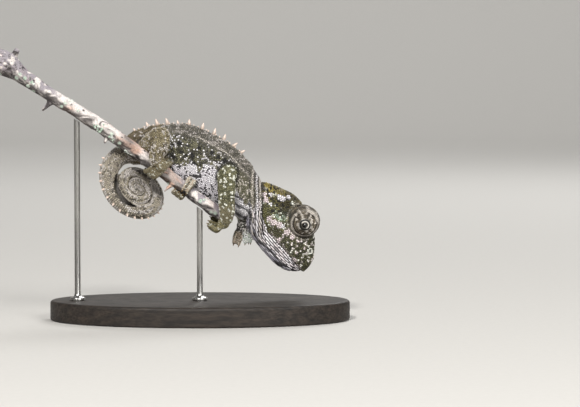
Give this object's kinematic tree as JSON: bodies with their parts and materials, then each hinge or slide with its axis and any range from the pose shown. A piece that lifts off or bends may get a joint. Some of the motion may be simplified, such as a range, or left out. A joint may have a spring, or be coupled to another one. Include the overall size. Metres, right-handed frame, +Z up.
{
  "type": "young chameleon on a twig, museum display model",
  "caption": "Young chameleon with a coiled tail gripping a thorny twig head-down, held over an oval base by slim rods.",
  "frame": {"origin": "the middle of the base's underside", "axes": "+Z up, +X the way the animal faces, -Y its right side"},
  "size_m": [0.0727, 0.034, 0.0544],
  "materials": {
    "skin": "dry, scaly, olive brown and white",
    "eye": "wet, black",
    "bark": "dry bark, pale, with lichen",
    "base_wood": "ebonised, satin",
    "rod_steel": "fine brushed"
  },
  "bodies": {
    "root": {"head": "skin", "lower_jaw": "skin", "neck": "skin", "trunk": "skin", "tail_root": "skin", "tail_coil_1": "skin", "tail_coil_2": "skin", "tail_coil_3": "skin", "tail_coil_4": "skin", "tail_coil_5": "skin", "tail_coil_6": "skin", "eye_turret_right": "skin", "eye_turret_left": "skin", "eyeball_right": "eye", "eyeball_left": "eye", "upper_arm_right": "skin", "forearm_right": "skin", "hand_right": "skin", "upper_arm_left": "skin", "forearm_left": "skin", "hand_left": "skin", "thigh_right": "skin", "shin_right": "skin", "foot_right": "skin", "thigh_left": "skin", "shin_left": "skin", "foot_left": "skin", "perch_twig": "bark", "stand_base": "base_wood", "stand_rod_rear": "rod_steel", "stand_rod_front": "rod_steel"}
  },
  "joints": []
}
